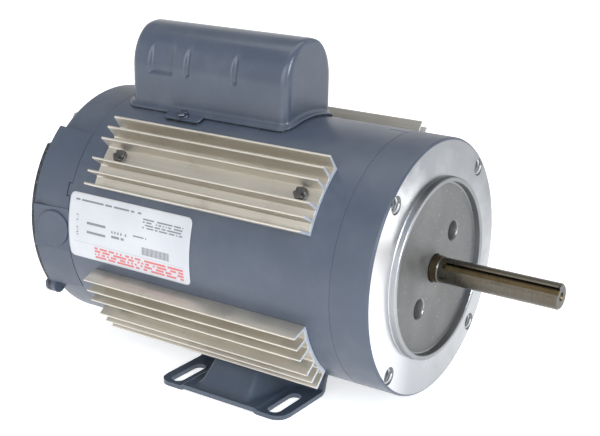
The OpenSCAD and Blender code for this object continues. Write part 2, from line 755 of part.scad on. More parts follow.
// Coil that pushes the spool back as the motor slows
module governor_spring() {
  turns = 4;
  per_turn = 20;
  sides = 8;
  wire_r = 0.6;
  coil_r = 12.4;
  z0 = 1.25;
  rise = 6.1;
  n = turns * per_turn;
  pts = [for (i = [0 : n]) let (a = i * 360 / per_turn, z = z0 + rise * i / n)
    for (j = [0 : sides - 1]) let (b = j * 360 / sides, r = coil_r + wire_r * cos(b))
      [r * cos(a), r * sin(a), z + wire_r * sin(b)]];
  walls = [for (i = [0 : n - 1], j = [0 : sides - 1]) let (k = (j + 1) % sides)
    [sides * i + j, sides * i + sides + j, sides * i + sides + k, sides * i + k]];
  ends = [[for (j = [0 : sides - 1]) j], [for (j = [sides - 1 : -1 : 0]) sides * n + j]];
  color(zinc) at_governor() polyhedron(pts, concat(walls, ends));
}

module switch_board() {
  color(phenolic) at_governor() {
    difference() {
      translate([0, 0, board_z]) tube(58, 29, 2.5);
      for (a = post_angles) on_ring(post_ring_r, a, board_z - cut) cylinder(r = 1.9, h = 4);
    }
    for (s = [-1, 1]) translate([s * 6 - 1.5, arm_pivot[0] - 3, board_z + 2]) cube([3, 6, 8]);
    translate([0, arm_pivot[0], arm_pivot[1]]) rotate([0, 90, 0])
      cylinder(r = 1.2, h = 14, center = true);
  }
}

module switch_board_screws() {
  color(zinc) at_governor() for (a = post_angles)
    on_ring(post_ring_r, a, board_z + 2.5) slotted_screw(1.9, 11, 5.5, 2.4, 3.4);
}

module switch_arm() {
  color(brass) at_governor() translate([0, arm_pivot[0], arm_pivot[1]]) difference() {
    union() {
      rotate([0, 90, 0]) cylinder(r = 2.6, h = 8, center = true);
      translate([-3.5, -24, 1]) cube([7, 24, 1.6]);
      translate([0, -22, 2]) cylinder(r = 3, h = 2.6);
    }
    rotate([0, 90, 0]) cylinder(r = 1.27, h = 9, center = true);
  }
}

module switch_contact() {
  color(brass) at_governor() translate([0, 33, board_z + 2.5]) {
    cylinder(r = 2.4, h = 3.7);
    translate([-4, -3, 0]) cube([8, 6, 0.8]);
  }
}

module thermal_protector() {
  color(dark) at_governor() on_ring(44, 320, board_z + 2.5) {
    cylinder(r = 10, h = 8);
    translate([-2, 8, 2]) cube([4, 5, 0.8]);
    translate([-2, -13, 2]) cube([4, 5, 0.8]);
  }
}

// ---- connection box in the rear bell ----

module terminal_board() {
  color(phenolic) along_shaft(bell_rear_z) {
    translate([-66, -17, 18.5]) cube([26, 34, 3]);
    for (s = [-1, 1]) translate([-53, s * 14, 21.5]) cylinder(r = 2.5, h = 3);
  }
}

module terminal_studs() {
  color(brass) along_shaft(bell_rear_z) for (i = [-2 : 2])
    translate([i % 2 == 0 ? -60 : -46, i * 6, 10.5]) {
      cylinder(r = 1.8, h = 8);
      translate([0, 0, 5]) cylinder(r = 2.9, h = 3, $fn = 6);
    }
}

module ground_screw() {
  color([0.15, 0.45, 0.22]) along_shaft(bell_rear_z) on_ring(ground_spot[0], ground_spot[1], 24.5)
    rotate([180, 0, 0]) slotted_screw(1.5, 3, 5.5, 2.6, 3.6);
}

stator_shell();
drive_end_bell();
rear_end_bell();
terminal_cover();
terminal_cover_gasket();
terminal_cover_screws();
conduit_hole_plug();
capacitor_cover();
capacitor_cover_gasket();
capacitor_cover_screws();
start_capacitor();
capacitor_terminals();
capacitor_clamp();
heat_sink(180 - sink_up);  // heat_sink_upper_left
heat_sink(180 + sink_down);  // heat_sink_lower_left
heat_sink(sink_up);  // heat_sink_upper_right
heat_sink(-sink_down);  // heat_sink_lower_right
heat_sink_screws();
mounting_base();
through_bolts();
rating_label();
stator_core();
stator_winding();
shaft();
rotor_core();
rotor_cage();
inner_race(front_bearing_z);  // front_bearing_inner_race
outer_race(front_bearing_z);  // front_bearing_outer_race
ball_set(front_bearing_z);  // front_bearing_balls
ball_cage(front_bearing_z);  // front_bearing_cage
inner_race(rear_bearing_z);  // rear_bearing_inner_race
outer_race(rear_bearing_z);  // rear_bearing_outer_race
ball_set(rear_bearing_z);  // rear_bearing_balls
ball_cage(rear_bearing_z);  // rear_bearing_cage
wave_spring();
bearing_retainer();
retainer_screws();
governor_hub();
governor_spool();
governor_weight(90);  // governor_weight_a
governor_weight(270);  // governor_weight_b
governor_spring();
switch_board();
switch_board_screws();
switch_arm();
switch_contact();
thermal_protector();
terminal_board();
terminal_studs();
ground_screw();
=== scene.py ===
# Visual model of the foot-mounted C-face motor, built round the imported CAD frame.
import math
import random

import bmesh
import bpy
from mathutils import Matrix, Quaternion, Vector


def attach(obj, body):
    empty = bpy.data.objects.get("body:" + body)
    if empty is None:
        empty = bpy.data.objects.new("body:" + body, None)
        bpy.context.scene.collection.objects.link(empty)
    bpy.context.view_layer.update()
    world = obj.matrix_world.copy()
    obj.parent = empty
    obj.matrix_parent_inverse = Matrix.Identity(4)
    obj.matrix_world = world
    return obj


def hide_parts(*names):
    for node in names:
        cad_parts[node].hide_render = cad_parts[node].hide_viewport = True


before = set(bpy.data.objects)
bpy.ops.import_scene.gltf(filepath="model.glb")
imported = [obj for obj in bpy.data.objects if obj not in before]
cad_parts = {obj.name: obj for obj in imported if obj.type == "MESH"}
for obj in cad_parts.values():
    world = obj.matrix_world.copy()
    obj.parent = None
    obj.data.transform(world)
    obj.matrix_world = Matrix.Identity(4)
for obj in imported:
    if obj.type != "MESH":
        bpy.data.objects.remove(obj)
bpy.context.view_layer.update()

MM = 0.001
rng = random.Random(7)

# ---- sizes, in millimetres, as in the CAD ----
# z runs along the shaft towards the drive end. Angles, in degrees, run from +X towards +Z.

SHAFT_HEIGHT = 88.9
SHELL_R = 81.0
FACE_Z = 105.9
FRONT_SEAM_Z = FACE_Z - 25.65

FLOOR_Z = FACE_Z - 0.4
PILOT_R = 57.15
PILOT_Z = FACE_Z + 4.06
BOLT_RING_R = 149.225 / 2
FACE_HOLE_ANGLES = (45, 135, 225, 315)
RETAINER_SPOTS = ((29, 39.5), (28, 230))

SINK_Z = FACE_Z - 126
SINK_LENGTH = 166
SINK_BASE_R = SHELL_R + 2.6
SINK_SCREW_Z = 69.85
SINK_ANGLES = {
    "heat_sink_upper_left": 141.4,
    "heat_sink_lower_left": 212.1,
    "heat_sink_upper_right": 38.6,
    "heat_sink_lower_right": -32.1,
}
FIN_OFFSETS = (-15, -9.8, -4.45, 4.45, 9.8, 15)
FIN_TIP_R = 94.0
FIN_T = 1.7

COVER_MID_Y = 157.5 - FACE_Z
COVER_HALF_W = 26.0
COVER_HALF_L = 63.25
COVER_TOP = 131.2
COVER_CROWN = 28.0
COVER_SEAT_R = SHELL_R + 0.8
COVER_SHEET = 1.2
COVER_SCREW_Y = 170.6 - FACE_Z
COVER_SCREW_ANGLES = (67.1, 112.9)

SLOT_X = 61.9
SLOT_Y = 38.1
SLOT_LENGTH = 30.5
SLOT_W = 8.73
BASE_HALF_W = 81.0
BASE_HALF_L = 48.8
FOOT_T = 3.0

LABEL_MID_Z = FACE_Z - 178.25
LABEL_UP = 5.2
LABEL_HALF_H = 21.7
LABEL_HALF_L = 50.75


# ---- placing ----

def motor(x, up, z):
    """Row-frame point, in metres, x across and up above the shaft line, z towards the drive end."""
    return Vector((x, -z, SHAFT_HEIGHT + up)) * MM


def polar(r, angle, z):
    a = math.radians(angle)
    return motor(r * math.cos(a), r * math.sin(a), z)


def radial_frame(angle, r, z):
    """Matrix whose local Z points out along a radius of the shaft line, with its origin at radius r."""
    a = math.radians(angle)
    out = Vector((math.cos(a), 0, math.sin(a)))
    along = Vector((0, -1, 0))
    side = along.cross(out)
    rotation = Matrix((along, side, out)).transposed().to_4x4()
    return Matrix.Translation(polar(r, angle, z)) @ rotation


def axial_frame(r, angle):
    """Matrix whose local Z points along the shaft towards the drive end, with its origin at z = 0."""
    return Matrix.Translation(polar(r, angle, 0)) @ Matrix.Rotation(math.pi / 2, 4, "X")


def on_shell(x, r):
    """Height above the shaft line of a cylinder of radius r round it, at x."""
    return math.sqrt(max(0.0, r * r - x * x))


def smoothstep(value, low, high):
    t = min(1.0, max(0.0, (value - low) / (high - low)))
    return t * t * (3 - 2 * t)


def arc(cx, cy, r, start, stop, steps=6):
    """Points of an arc, angles in degrees."""
    out = []
    for i in range(steps + 1):
        a = math.radians(start + (stop - start) * i / steps)
        out.append((cx + r * math.cos(a), cy + r * math.sin(a)))
    return out


def round_corner(p, q, half_p, half_q, corner):
    """Pulls a point of a rectangle inward where its corners are rounded."""
    over_p, over_q = abs(p) - (half_p - corner), abs(q) - (half_q - corner)
    if over_p > 0 and over_q > 0:
        reach, length = max(over_p, over_q), math.hypot(over_p, over_q)
        p = math.copysign(half_p - corner + over_p * reach / length, p)
        q = math.copysign(half_q - corner + over_q * reach / length, q)
    return p, q


# ---- mesh helpers ----

def add_object(name, bm):
    """An object in the scene from a bmesh, with its faces turned outwards."""
    bmesh.ops.recalc_face_normals(bm, faces=bm.faces)
    mesh = bpy.data.meshes.new(name)
    bm.to_mesh(mesh)
    bm.free()
    obj = bpy.data.objects.new(name, mesh)
    bpy.context.scene.collection.objects.link(obj)
    return obj


def finish_mesh(name, bm, materials, body="housing", replaces=(), smooth=35):
    """Turns a bmesh into a piece with its materials, riding on a CAD body."""
    obj = add_object(name, bm)
    for material in materials:
        obj.data.materials.append(material)
    obj.data.shade_smooth()
    obj.data.set_sharp_from_angle(angle=math.radians(smooth))
    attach(obj, body)
    if replaces:
        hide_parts(*replaces)
    return obj


def apply_modifiers(obj):
    """Makes the modified shape the object's own mesh."""
    depsgraph = bpy.context.evaluated_depsgraph_get()
    depsgraph.update()
    mesh = bpy.data.meshes.new_from_object(obj.evaluated_get(depsgraph))
    obj.modifiers.clear()
    old = obj.data
    obj.data = mesh
    bpy.data.meshes.remove(old)


def subtract(obj, name, build):
    """Cuts a solid out of obj for good; build fills the solid's bmesh."""
    bm = bmesh.new()
    build(bm)
    tool = add_object(name, bm)
    mod = obj.modifiers.new("cut", "BOOLEAN")
    mod.operation = "DIFFERENCE"
    mod.solver = "EXACT"
    mod.object = tool
    apply_modifiers(obj)
    bpy.data.objects.remove(tool)


def add_sheet(obj, name, thickness, offset=-1):
    """Thickens an open surface; offset -1 puts the sheet under it, 0 half on each side."""
    solid = obj.modifiers.new(name, "SOLIDIFY")
    solid.thickness = thickness * MM
    solid.offset = offset


def lathe(bm, profile, band):
    """Turns a closed outline of (radius, z) points round the shaft line; band(k) is the material."""
    segments = 192
    rings = []
    for r, z in profile:
        rings.append([bm.verts.new(polar(r, 360 * i / segments, z)) for i in range(segments)])
    for k, a in enumerate(rings):
        b = rings[(k + 1) % len(rings)]
        for i in range(segments):
            j = (i + 1) % segments
            bm.faces.new((a[i], b[i], b[j], a[j])).material_index = band(k)


def loft(bm, rings):
    """Skins a list of closed rings that have the same number of points."""
    rows = [[bm.verts.new(p) for p in ring] for ring in rings]
    for a, b in zip(rows, rows[1:]):
        for i in range(len(a)):
            j = (i + 1) % len(a)
            bm.faces.new((a[i], a[j], b[j], b[i]))
    return rows


def skin(bm, grid):
    """Faces between the rows of a grid of vertices."""
    faces = []
    for a, b in zip(grid, grid[1:]):
        for j in range(len(a) - 1):
            faces.append(bm.faces.new((a[j], b[j], b[j + 1], a[j + 1])))
    return faces


def add_turned(bm, matrix, profile, material, rim):
    """A solid of revolution on the local Z axis of matrix, through (radius, z) points in millimetres.

    rim is the material of the last band, the rest takes material.
    """
    segments = 64
    rings = []
    for r, z in profile:
        ring = []
        for i in range(segments):
            a = 2 * math.pi * i / segments
            ring.append(bm.verts.new(matrix @ (Vector((r * math.cos(a), r * math.sin(a), z)) * MM)))
        rings.append(ring)
    for k, (low, high) in enumerate(zip(rings, rings[1:])):
        index = rim if k == len(rings) - 2 else material
        for i in range(segments):
            j = (i + 1) % segments
            bm.faces.new((low[i], low[j], high[j], high[i])).material_index = index
    for ring in (rings[0], rings[-1]):
        bm.faces.new(ring).material_index = material


# ---- materials ----

def srgb(r, g, b):
    """Linear colour from 0-255 display values."""
    out = []
    for v in (r, g, b):
        c = v / 255
        out.append(c / 12.92 if c <= 0.04045 else ((c + 0.055) / 1.055) ** 2.4)
    return (*out, 1.0)


def scaled(color, k):
    return (color[0] * k, color[1] * k, color[2] * k, 1.0)


class Shader:
    """A Principled material and short ways to add nodes to it."""

    def __init__(self, name, **values):
        self.material = bpy.data.materials.new(name)
        self.material.use_nodes = True
        self.tree = self.material.node_tree
        self.bsdf = self.tree.nodes["Principled BSDF"]
        texture = self.add("ShaderNodeTexCoord")
        self.coords = texture.outputs["Object"]
        self.facing = texture.outputs["Normal"]
        for key, value in values.items():
            self.bsdf.inputs[key.replace("_", " ")].default_value = value

    def add(self, kind, inputs=None, **props):
        node = self.tree.nodes.new(kind)
        for key, value in props.items():
            setattr(node, key, value)
        for key, value in (inputs or {}).items():
            self.put(node.inputs[key], value)
        return node

    def put(self, socket, value):
        if isinstance(value, bpy.types.NodeSocket):
            self.tree.links.new(value, socket)
        else:
            socket.default_value = value

    def stretch(self, x, y, z):
        return self.add("ShaderNodeMapping", {"Vector": self.coords, "Scale": (x, y, z)}).outputs[0]

    def noise(self, scale, detail=3.0, roughness=0.5, vector=None):
        inputs = {"Vector": vector or self.coords, "Scale": scale, "Detail": detail, "Roughness": roughness}
        return self.add("ShaderNodeTexNoise", inputs).outputs["Fac"]

    def ramp(self, fac, low, high, a=0.0, b=1.0):
        """Maps fac between low and high on to a..b, clamped."""
        inputs = {0: fac, 1: low, 2: high, 3: a, 4: b}
        return self.add("ShaderNodeMapRange", inputs).outputs[0]

    def spread(self, noise, a, b):
        """Maps the usual range of a noise on to a..b."""
        return self.ramp(noise, 0.3, 0.7, a, b)

    def math(self, operation, a, b=0.0):
        return self.add("ShaderNodeMath", {0: a, 1: b}, operation=operation).outputs[0]

    def mix(self, fac, a, b):
        return self.add("ShaderNodeMix", {0: fac, 6: a, 7: b}, data_type="RGBA").outputs[2]

    def lay(self, tone, mask, amount, color):
        """color laid over tone where mask is high, by amount at most."""
        return self.mix(self.math("MULTIPLY", mask, amount), tone, color)

    def mottle(self, noise, color, dark, light):
        """color times dark where the noise is low, times light where it is high."""
        return self.mix(self.spread(noise, 0.0, 1.0), scaled(color, dark), scaled(color, light))

    def bump(self, height, distance, strength, normal=None):
        inputs = {"Height": height, "Distance": distance, "Strength": strength}
        if normal:
            inputs["Normal"] = normal
        return self.add("ShaderNodeBump", inputs).outputs[0]

    def split(self, vector=None):
        """x, y, z of a vector, or of the object coordinates in metres."""
        return self.add("ShaderNodeSeparateXYZ", {0: vector or self.coords}).outputs

    def from_shaft(self):
        """x and height above the shaft line, in metres."""
        x, _, z = self.split()
        return x, self.math("SUBTRACT", z, SHAFT_HEIGHT * MM)

    def shaft_radius(self):
        """Distance from the shaft line, in metres."""
        x, up = self.from_shaft()
        squares = self.math("ADD", self.math("MULTIPLY", x, x), self.math("MULTIPLY", up, up))
        return self.math("SQRT", squares)

    def toward(self, across, rise):
        """How far a point lies from the shaft line towards a direction across the shaft, in metres."""
        x, up = self.from_shaft()
        return self.math("ADD", self.math("MULTIPLY", x, across), self.math("MULTIPLY", up, rise))

    def out(self, color, roughness, normal=None):
        for key, value in {"Base Color": color, "Roughness": roughness, "Normal": normal}.items():
            if value is not None:
                self.put(self.bsdf.inputs[key], value)
        return self.material


def paint(name, color, gloss=(0.30, 0.42), peel=0.00003, dust=0.05):
    """Sprayed enamel: slight mottling, orange peel and a little dust."""
    s = Shader(name, Specular_IOR_Level=0.5, Coat_Weight=0.15, Coat_Roughness=0.25)
    tone = s.mottle(s.noise(14, 4, 0.6), color, 0.93, 1.06)
    specks = s.ramp(s.noise(900, 2, 0.7), 0.66, 0.8)
    tone = s.lay(tone, specks, dust * 3, scaled(color, 2.2))
    haze = s.ramp(s.noise(42, 5, 0.65), 0.45, 0.75)
    tone = s.lay(tone, haze, dust, srgb(170, 172, 172))
    rough = s.ramp(s.noise(60, 4), 0.25, 0.75, *gloss)
    return s.out(tone, rough, s.bump(s.noise(650, 2, 0.5), peel, 0.5))


def bare_metal(name, color, rough, stain, grain=(1, 1, 1), grain_scale=260, metallic=1.0):
    """Bare metal with a directional grain, stains and small scratches."""
    s = Shader(name, Metallic=metallic)
    lines = s.noise(grain_scale, 4, 0.6, s.stretch(*grain))
    tone = s.mottle(lines, color, 0.88, 1.08)
    stains = s.ramp(s.noise(34, 6, 0.65), 0.5, 0.78)
    tone = s.lay(tone, stains, stain, scaled(color, 0.45))
    roughness = s.spread(s.noise(90, 4, 0.6), *rough)
    return s.out(tone, roughness, s.bump(lines, 0.00001, 0.6))


def machined_face():
    """Faced aluminium: turning rings and stains; lighter towards -X as a painted highlight, darker high up
    and on the pilot as painted shade.
    """
    s = Shader("machined aluminium", Metallic=1.0, Anisotropic=0.6, Anisotropic_Rotation=0.0)
    tangent = s.add("ShaderNodeTangent", direction_type="RADIAL", axis="Y").outputs[0]
    s.put(s.bsdf.inputs["Tangent"], tangent)
    patches = s.ramp(s.noise(16, 5, 0.6), 0.42, 0.7)
    tone = s.lay(srgb(176, 177, 180), patches, 0.5, srgb(164, 164, 162))
    smear = s.ramp(s.noise(55, 6, 0.7), 0.56, 0.76)
    tone = s.lay(tone, smear, 0.45, srgb(140, 140, 140))
    # painted highlight: the face is painted near white towards -X, where it reflects the bright floor
    painted_highlight_side = s.ramp(s.toward(-0.99, 0.12), 0.02, 0.06, 0.0, 0.85)
    tone = s.mix(painted_highlight_side, tone, srgb(252, 252, 253))
    # painted shade: the face is painted darker grey high up and towards +X, with cloudy edges
    clouds = s.spread(s.noise(24, 5, 0.65), -0.5, 0.5)
    painted_shade_high = s.math("ADD", s.math("DIVIDE", s.toward(0.45, 0.89), 0.07), clouds)
    tone = s.mix(s.ramp(painted_shade_high, 0.1, 1.0), tone, srgb(150, 152, 155))
    # painted shade: the pilot is painted darker to dim its reflections
    pilot = s.math("LESS_THAN", s.shaft_radius(), (PILOT_R + 0.3) * MM)
    tone = s.lay(tone, pilot, 0.75, srgb(128, 129, 131))
    pits = s.ramp(s.noise(420, 3, 0.7), 0.68, 0.8)
    tone = s.lay(tone, pits, 0.6, srgb(95, 95, 96))
    rings = s.math("SINE", s.math("MULTIPLY", s.shaft_radius(), 14000.0))
    normal = s.bump(rings, 0.000004, 0.5)
    normal = s.bump(s.noise(240, 4, 0.6), 0.00003, 0.35, normal)
    return s.out(tone, s.spread(s.noise(40, 5), 0.24, 0.44), normal)


def cast_face():
    """As-cast aluminium: grainy, grey, with bright specks."""
    s = Shader("cast aluminium", Metallic=0.85)
    tone = s.mottle(s.noise(60, 5, 0.6), srgb(122, 122, 121), 0.88, 1.1)
    specks = s.ramp(s.noise(800, 2, 0.7), 0.67, 0.78)
    tone = s.lay(tone, specks, 0.7, srgb(230, 230, 228))
    normal = s.bump(s.noise(700, 4, 0.65), 0.00012, 0.55)
    return s.out(tone, s.spread(s.noise(120, 4), 0.5, 0.66), normal)


def extrusion(name, color):
    """Mill-finish fins: die lines along the shaft, warm grey, with handling smudges."""
    s = Shader(name, Metallic=0.9)
    lines = s.noise(220, 4, 0.6, s.stretch(6, 0.05, 6))
    tone = s.mottle(lines, color, 0.9, 1.05)
    smudge = s.ramp(s.noise(38, 5, 0.6), 0.55, 0.78)
    tone = s.lay(tone, smudge, 0.3, srgb(120, 114, 102))
    return s.out(tone, s.spread(s.noise(50, 4), 0.34, 0.48), s.bump(lines, 0.00002, 0.6))


def shaft_steel():
    """Ground and oiled steel, brownish, with turning marks, a stained collar and darker ends; the keyway
    floor is tan, fading to painted shadow along its upper wall.
    """
    s = Shader("shaft steel", Metallic=1.0)
    key_floor_r, collar_r = 7.7 * MM, 8.1 * MM
    marks = s.noise(260, 5, 0.6, s.stretch(0.3, 6, 0.3))
    tone = s.mottle(marks, srgb(98, 93, 84), 0.84, 1.08)
    stain = s.ramp(s.noise(46, 5, 0.65), 0.52, 0.74)
    tone = s.lay(tone, stain, 0.35, srgb(84, 68, 46))
    lengthwise = s.math("ABSOLUTE", s.split(s.facing)[1])
    flank = s.math("LESS_THAN", lengthwise, 0.5)
    tone = s.mix(s.math("GREATER_THAN", lengthwise, 0.9), tone, srgb(74, 71, 65))
    # painted shadow: the keyway floor goes from tan to near black towards its upper wall, where that wall's
    # shade falls
    across = s.ramp(s.toward(-0.656, -0.755), -2.1 * MM, -0.6 * MM)
    keyway_floor_and_shadow = s.mix(across, srgb(30, 27, 24), srgb(120, 104, 76))
    keyway = s.math("MULTIPLY", flank, s.math("LESS_THAN", s.shaft_radius(), key_floor_r))
    tone = s.mix(keyway, tone, keyway_floor_and_shadow)
    collar = s.math("MULTIPLY", flank, s.math("GREATER_THAN", s.shaft_radius(), collar_r))
    tone = s.lay(tone, collar, 0.6, srgb(100, 82, 56))
    return s.out(tone, s.spread(s.noise(110, 4), 0.22, 0.36), s.bump(marks, 0.00001, 0.6))


def moulded(name, color):
    """Plastic, rubber or board: fine grain and slight tone changes."""
    s = Shader(name)
    tone = s.mottle(s.noise(70, 4), color, 0.82, 1.15)
    return s.out(tone, s.spread(s.noise(160, 3), 0.42, 0.6), s.bump(s.noise(500, 3, 0.6), 0.00006, 0.6))


def gasket_edge():
    """Fibrous dark gasket and sheet edge, with light flecks."""
    s = Shader("gasket")
    flecks = s.ramp(s.noise(620, 4, 0.7), 0.53, 0.64)
    tone = s.mix(flecks, srgb(24, 27, 32), srgb(88, 97, 108))
    return s.out(tone, 0.62, s.bump(s.noise(480, 4, 0.7), 0.0005, 0.9))


def laminations():
    """Stacked sheet steel: fine lines across the shaft."""
    s = Shader("laminations", Metallic=0.9)
    _, y, _ = s.split()
    sheets = s.math("SINE", s.math("MULTIPLY", y, 9000.0))
    base = srgb(120, 122, 128)
    tone = s.mix(s.ramp(sheets, -1.0, 1.0), scaled(base, 0.7), scaled(base, 1.05))
    varnish = s.ramp(s.noise(60, 4), 0.5, 0.7)
    tone = s.lay(tone, varnish, 0.4, srgb(92, 70, 52))
    return s.out(tone, 0.45, s.bump(sheets, 0.00003, 0.7))


def winding_wire():
    """Varnished copper strands."""
    s = Shader("winding wire", Metallic=0.75, Coat_Weight=0.6, Coat_Roughness=0.15)
    strands = s.noise(500, 2, 0.5, s.stretch(1, 4, 1))
    base = srgb(168, 96, 52)
    tone = s.mix(s.ramp(strands, 0.35, 0.65), scaled(base, 0.5), scaled(base, 1.1))
    return s.out(tone, s.spread(s.noise(90, 3), 0.28, 0.45), s.bump(strands, 0.0004, 0.8))


def label_print():
    """White film with rows of grey bars that stand for print, and a reddish block of bars."""
    s = Shader("label print", Coat_Weight=0.5, Coat_Roughness=0.12)
    u, v, _ = s.split(s.add("ShaderNodeUVMap").outputs[0])

    def between(value, low, high):
        return s.math("MULTIPLY", s.math("GREATER_THAN", value, low), s.math("LESS_THAN", value, high))

    def region(u0, u1, v0, v1):
        return s.math("MULTIPLY", between(u, u0, u1), between(v, v0, v1))

    def rows(u0, u1, v0, v1, count, dash, fill=0.55):
        """Broken bars in count rows; dash is the number of dashes across the label."""
        line = s.math("MULTIPLY", s.math("SUBTRACT", v, v0), count / (v1 - v0))
        row = s.math("FLOOR", line)
        inside = s.math("LESS_THAN", s.math("FRACT", line), fill)
        across = s.math("ADD", s.math("MULTIPLY", u, dash), s.math("MULTIPLY", row, 0.37))
        cell = s.add("ShaderNodeCombineXYZ", {0: s.math("FLOOR", across), 1: row, 2: 3.0}).outputs[0]
        pick = s.add("ShaderNodeTexWhiteNoise", {0: cell}, noise_dimensions="3D").outputs[0]
        shown = s.math("GREATER_THAN", pick, 0.28)
        return s.math("MULTIPLY", s.math("MULTIPLY", inside, shown), region(u0, u1, v0, v1))

    tone = s.mix(s.spread(s.noise(30, 3), 0.0, 1.0), srgb(182, 184, 190), srgb(194, 196, 201))
    ink = srgb(84, 86, 92)
    # left, right, bottom, top, rows, dashes across the label
    blocks = (
        (0.05, 0.60, 0.885, 0.935, 1, 70),
        (0.62, 0.94, 0.70, 0.86, 4, 90),
        (0.16, 0.32, 0.56, 0.63, 1, 60),
        (0.16, 0.32, 0.42, 0.49, 1, 60),
        (0.37, 0.50, 0.44, 0.58, 2, 80),
        (0.53, 0.66, 0.545, 0.585, 1, 80),
        (0.07, 0.085, 0.36, 0.70, 9, 30),
    )
    for block in blocks:
        tone = s.lay(tone, rows(*block), 0.8, ink)
    stripes = s.math("GREATER_THAN", s.math("FRACT", s.math("MULTIPLY", u, 95.0)), 0.5)
    stripes = s.math("MULTIPLY", stripes, region(0.62, 0.84, 0.30, 0.42))
    tone = s.mix(stripes, tone, srgb(52, 52, 56))
    red_block = rows(0.22, 0.95, 0.05, 0.24, 4, 64, 0.7)
    tone = s.lay(tone, red_block, 0.85, srgb(196, 70, 66))
    rule = region(0.04, 0.96, 0.255, 0.262)
    tone = s.lay(tone, rule, 0.35, ink)
    return s.out(tone, 0.42, s.bump(s.noise(200, 2), 0.00001, 0.3))


def floor_material():
    """Pale matt floor that also glows a little, so that it stays white."""
    s = Shader("studio floor", Emission_Color=(1, 1, 1, 1), Emission_Strength=0.62)
    tone = s.mix(s.noise(1.5, 3), srgb(248, 248, 249), srgb(253, 253, 253))
    return s.out(tone, 0.7)


BODY = srgb(67, 76, 91)
body_paint = paint("body enamel", BODY)
bell_paint = paint("bell enamel", scaled(BODY, 0.97), gloss=(0.34, 0.48))
cover_paint = paint("cover enamel", BODY, gloss=(0.2, 0.28), peel=0.00002)
base_paint = paint("base enamel", srgb(66, 76, 90), gloss=(0.16, 0.26), dust=0.03)
green_paint = paint("green enamel", srgb(40, 120, 62))
face_metal = machined_face()
cast_metal = cast_face()
fin_metal = extrusion("extruded aluminium", srgb(212, 207, 197))
# painted shade: a darker copy of the fin finish for the far sink, whose fins face away from the light
far_sink_shaded_metal = extrusion("far sink extrusion with painted shade", srgb(160, 157, 150))
fin_end = bare_metal("sawn aluminium", srgb(206, 211, 220), (0.4, 0.5), 0.15, (4, 4, 1), metallic=0.4)
thread_metal = bare_metal("cut thread", srgb(214, 214, 216), (0.35, 0.5), 0.2, (1, 6, 1), 300)
steel = shaft_steel()
bearing_steel = bare_metal("bearing steel", srgb(200, 202, 205), (0.12, 0.22), 0.05, (1, 8, 1), 240)
zinc = bare_metal("zinc plate", srgb(186, 188, 194), (0.25, 0.4), 0.25)
dull_zinc = bare_metal("painted-over zinc", srgb(112, 119, 131), (0.3, 0.42), 0.3)
black_steel = bare_metal("black oxide", srgb(112, 112, 113), (0.32, 0.45), 0.3)
brass_metal = bare_metal("brass", srgb(196, 164, 92), (0.25, 0.4), 0.3, (2, 2, 1))
phenolic = moulded("phenolic board", srgb(86, 56, 36))
black_plastic = moulded("black plastic", srgb(34, 34, 38))
gasket = gasket_edge()
core_metal = laminations()
wire = winding_wire()
label_film = label_print()


# ---- visible pieces made here ----

def make_drive_bell():
    """Turned flange with a painted rim, a machined face and pilot and a cast inner disc."""
    painted, cast, machined, cut_thread = range(4)
    edge, seam_edge = 1.8, 0.15
    bell_r = SHELL_R - 0.1
    spigot_r, spigot_l = 78, 5.5
    rim_r, hub_r, hub_l = 69, 36, 12
    shaft_hole_r, hub_hole_r = 8.8, 20
    seam, wall, hub_z = FRONT_SEAM_Z, FACE_Z - 11, FACE_Z - 24
    profile = [(shaft_hole_r, wall), (shaft_hole_r, FLOOR_Z - 0.4), (shaft_hole_r + 0.4, FLOOR_Z)]
    profile += [(PILOT_R - 4.2, FLOOR_Z)]
    cast_bands = len(profile) - 1
    profile += [(PILOT_R - 3.4, FLOOR_Z + 0.4), (PILOT_R - 3.0, PILOT_Z - 0.5), (PILOT_R - 2.6, PILOT_Z)]
    profile += [(PILOT_R - 0.5, PILOT_Z), (PILOT_R, PILOT_Z - 0.5), (PILOT_R, FACE_Z + 0.5)]
    profile += [(PILOT_R + 0.4, FACE_Z), (PILOT_R + 10.85, FACE_Z)]
    machined_bands = len(profile) + 1
    profile += arc(bell_r - edge, FACE_Z - edge, edge, 90, 0, 8)
    painted_bands = len(profile)
    profile += [(bell_r, seam + seam_edge), (bell_r - seam_edge, seam), (spigot_r, seam)]
    profile += [(spigot_r, seam - spigot_l), (rim_r + 2, seam - spigot_l), (rim_r, seam), (rim_r, wall - 2)]
    profile += [(rim_r - 3, wall), (hub_r + 2, wall), (hub_r, wall - 2), (hub_r, hub_z)]
    profile += [(hub_hole_r, hub_z), (hub_hole_r, hub_z + hub_l), (shaft_hole_r, hub_z + hub_l)]

    def band(k):
        if k < cast_bands or k > painted_bands:
            return cast
        return machined if k < machined_bands else painted

    bm = bmesh.new()
    lathe(bm, profile, band)
    smooth = 28
    obj = finish_mesh("drive_end_bell_visual", bm, [bell_paint, cast_metal, face_metal, thread_metal],
                      replaces=("drive_end_bell",), smooth=smooth)
    proud = 0.05

    def face_holes(cut):
        bore = ((4.7, FACE_Z - 18), (4.7, FACE_Z - 1.1), (5.75, FACE_Z + proud))
        for angle in FACE_HOLE_ANGLES:
            add_turned(cut, axial_frame(BOLT_RING_R, angle), bore, cut_thread, rim=cast)

    def recesses(cut):
        bore = ((5.8, FLOOR_Z - 11.5), (6.0, FLOOR_Z - 1.2), (6.3, FLOOR_Z - 0.5), (6.95, FLOOR_Z + proud))
        for r, angle in RETAINER_SPOTS:
            add_turned(cut, axial_frame(r, angle), bore, cast, rim=machined)

    subtract(obj, "face_holes", face_holes)
    subtract(obj, "recesses", recesses)
    obj.data.set_sharp_from_angle(angle=math.radians(smooth))


